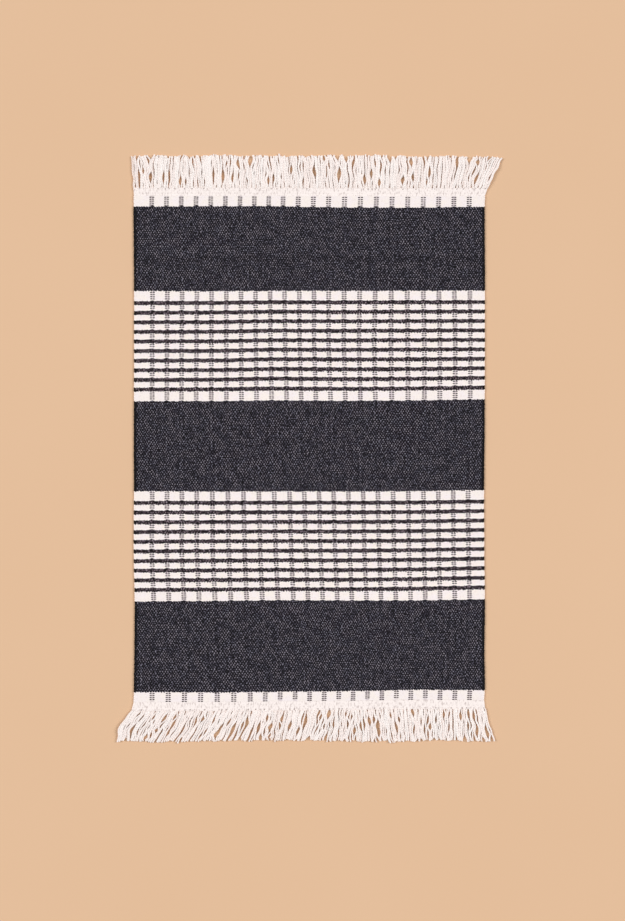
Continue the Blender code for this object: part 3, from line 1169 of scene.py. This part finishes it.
def strand_path(end, rng, strand, thick, openings):
    """The points down the middle of one strand, from inside the heading to its tip."""
    share = (strand + 0.5) / STRANDS
    root = share * CLOTH_WIDTH
    root_x, root_y = heading_place(end, share, 1.0)
    sideways = between(end.lies, share, "sideways") + rng.gauss(0, LEAN_SPREAD) * MM
    if rng.random() < STRAY_SHARE:
        sideways += rng.uniform(-STRAY_LEAN, STRAY_LEAN) * MM
    reach = between(end.lies, share, "reach") + rng.gauss(0, REACH_SPREAD) * MM
    if rng.random() < SHORT_SHARE:
        reach -= rng.uniform(*SHORT_BY) * MM
    reach += UNEVEN_SIZE * noise.noise((root / UNEVEN_WIDTH, 0.5, end.seed + UNEVEN_SEED))
    steps = np.linspace(STRAND_START, 1, STRAND_STEPS + 1)
    out = np.clip(steps, 0, 1)
    wave = [noise.noise((root / WAVE_WIDTH, place * WAVE_RATE, end.seed)) * math.sqrt(place) for place in out]
    waver = rng.gauss(0, WAVER_SPREAD) * MM * out
    waver = waver * np.sin(2 * math.pi * (WAVER_TURNS * out + rng.random()))
    bowed = out + between(end.lies, share, "bow") * np.sin(math.pi * out)
    x = root_x + sideways * bowed + WAVE_SIZE * np.array(wave) + waver
    x = x + pushed_aside(root, out, openings)
    y = root_y + end.side * reach * steps
    arch = np.sin(math.pi * np.clip(out * LAYER_END, 0, 1)) ** LAYER_ROUNDING
    z = thick * FLOOR_CLEARANCE + rng.choice(LAYERS) * MM * arch
    return np.stack([x, y, z], -1)


def tube(path, radii, turn):
    """Rings of points round a path, in the shape of two plies that twist round each other."""
    along = np.gradient(path, axis=0)
    lengths = np.linalg.norm(along, axis=1, keepdims=True)
    along /= lengths
    beside = np.cross(along, (0.0, 0.0, 1.0))
    beside /= np.linalg.norm(beside, axis=1, keepdims=True)
    above = np.cross(beside, along)
    walked = np.concatenate([[0], np.cumsum(np.linalg.norm(np.diff(path, axis=0), axis=1))])
    twist = 2 * math.pi * walked / TWIST_LENGTH + turn
    rings = []
    for side, shape in enumerate(PLY_SHAPE):
        angle = 2 * math.pi * side / STRAND_SIDES + twist
        out = radii * shape * np.cos(angle)
        up = radii * shape * np.sin(angle)
        rings.append(path + beside * out[:, None] + above * up[:, None])
    return np.stack(rings, 1)


STRAND_THICKNESSES = (0.85, 1.15)
STRAND_TAPER = ([0, 0.1, 1], [0.9, 1, 1])


def make_fringe(end):
    """The loose strands, which wave together and part at their openings."""
    rng = random.Random(end.seed)
    openings = make_openings(end, rng)
    rings = STRAND_STEPS + 1
    points = []
    faces = []
    tones = []
    for strand in range(STRANDS):
        thick = STRAND_RADIUS * rng.uniform(*STRAND_THICKNESSES)
        path = strand_path(end, rng, strand, thick, openings)
        radii = thick * np.interp(np.linspace(0, 1, rings), *STRAND_TAPER)
        start = len(points)
        points += tube(path, radii, rng.uniform(0, 2 * math.pi)).reshape(-1, 3).tolist()
        for ring in range(STRAND_STEPS):
            low = start + ring * STRAND_SIDES
            for side in range(STRAND_SIDES):
                after = (side + 1) % STRAND_SIDES
                faces.append((low + side, low + side + STRAND_SIDES, low + after + STRAND_SIDES, low + after))
        faces.append(tuple(range(start, start + STRAND_SIDES)))
        last = start + STRAND_STEPS * STRAND_SIDES
        faces.append(tuple(range(last + STRAND_SIDES - 1, last - 1, -1)))
        tones += [rng.random()] * (rings * STRAND_SIDES)
    fringe = make_piece(end.name + "_fringe", points, faces, [YARN])
    add_attribute(fringe, "tone", tones)
    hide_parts(end.node)
    return fringe


# The stage


PHOTO_WIDTH = 625
PHOTO_HEIGHT = 921
RUG_WIDTH_IN_PHOTO = 350.4
CLOTH_MIDDLE_IN_PHOTO = (309.3, 448.5)
LENS_MM = 50
SENSOR_MM = 36
SKY_LIGHT = 0.33
KEY_LIGHT = 0.36
KEY_TILT = math.radians(52)
KEY_LEAN = math.radians(-10)
KEY_SPREAD = math.radians(30)
FLOOR_HALF = 20.0
FLOOR_MOTTLE = 0.4
FLOOR_TONES = (srgb(223, 185, 150), srgb(226, 189, 155))
SKY_COLOUR = (1.0, 0.99, 0.98, 1.0)


def make_camera():
    """Straight down on the rug, framed as the photo is."""
    scale = CLOTH_WIDTH / RUG_WIDTH_IN_PHOTO
    camera = bpy.data.objects.new("camera", bpy.data.cameras.new("camera"))
    camera.data.lens = LENS_MM
    camera.data.sensor_width = SENSOR_MM
    distance = PHOTO_HEIGHT * scale * LENS_MM / SENSOR_MM
    x = (PHOTO_WIDTH / 2 - CLOTH_MIDDLE_IN_PHOTO[0]) * scale
    y = (CLOTH_MIDDLE_IN_PHOTO[1] - PHOTO_HEIGHT / 2) * scale
    camera.location = (x, y, distance + CLOTH_TOP)
    bpy.context.scene.collection.objects.link(camera)
    bpy.context.scene.camera = camera


def make_key(name, tilt):
    """A soft light from well above, leaning over by a tilt to one side."""
    lamp = bpy.data.lights.new(name, "SUN")
    lamp.energy = KEY_LIGHT * math.pi / math.cos(tilt)
    lamp.angle = KEY_SPREAD
    light = bpy.data.objects.new(name, lamp)
    light.rotation_euler = (KEY_LEAN, tilt, 0)
    bpy.context.scene.collection.objects.link(light)


def make_stage():
    """The plain floor, the even sky and the two lights."""
    look = Look("pale_floor", roughness=0.6)
    look.colour(look.blend(look.noise(FLOOR_MOTTLE), *FLOOR_TONES))
    half = FLOOR_HALF
    corners = [(-half, -half, 0), (half, -half, 0), (half, half, 0), (-half, half, 0)]
    mesh = bpy.data.meshes.new("floor")
    mesh.from_pydata(corners, [], [(0, 1, 2, 3)])
    mesh.materials.append(look.material)
    floor = bpy.data.objects.new("floor", mesh)
    bpy.context.scene.collection.objects.link(floor)
    world = bpy.data.worlds.new("studio")
    world.use_nodes = True
    background = world.node_tree.nodes["Background"]
    background.inputs["Color"].default_value = SKY_COLOUR
    background.inputs["Strength"].default_value = SKY_LIGHT
    bpy.context.scene.world = world
    make_key("left_key", -KEY_TILT)
    make_key("right_key", KEY_TILT)
    bpy.context.scene.view_settings.view_transform = "Standard"


make_camera()
make_stage()
floats = make_floats()
loops = make_selvedges()
cloth = make_cloth()
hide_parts("woven_cloth")
finishes = [make(end) for end in ENDS for make in (make_heading, make_fringe)]
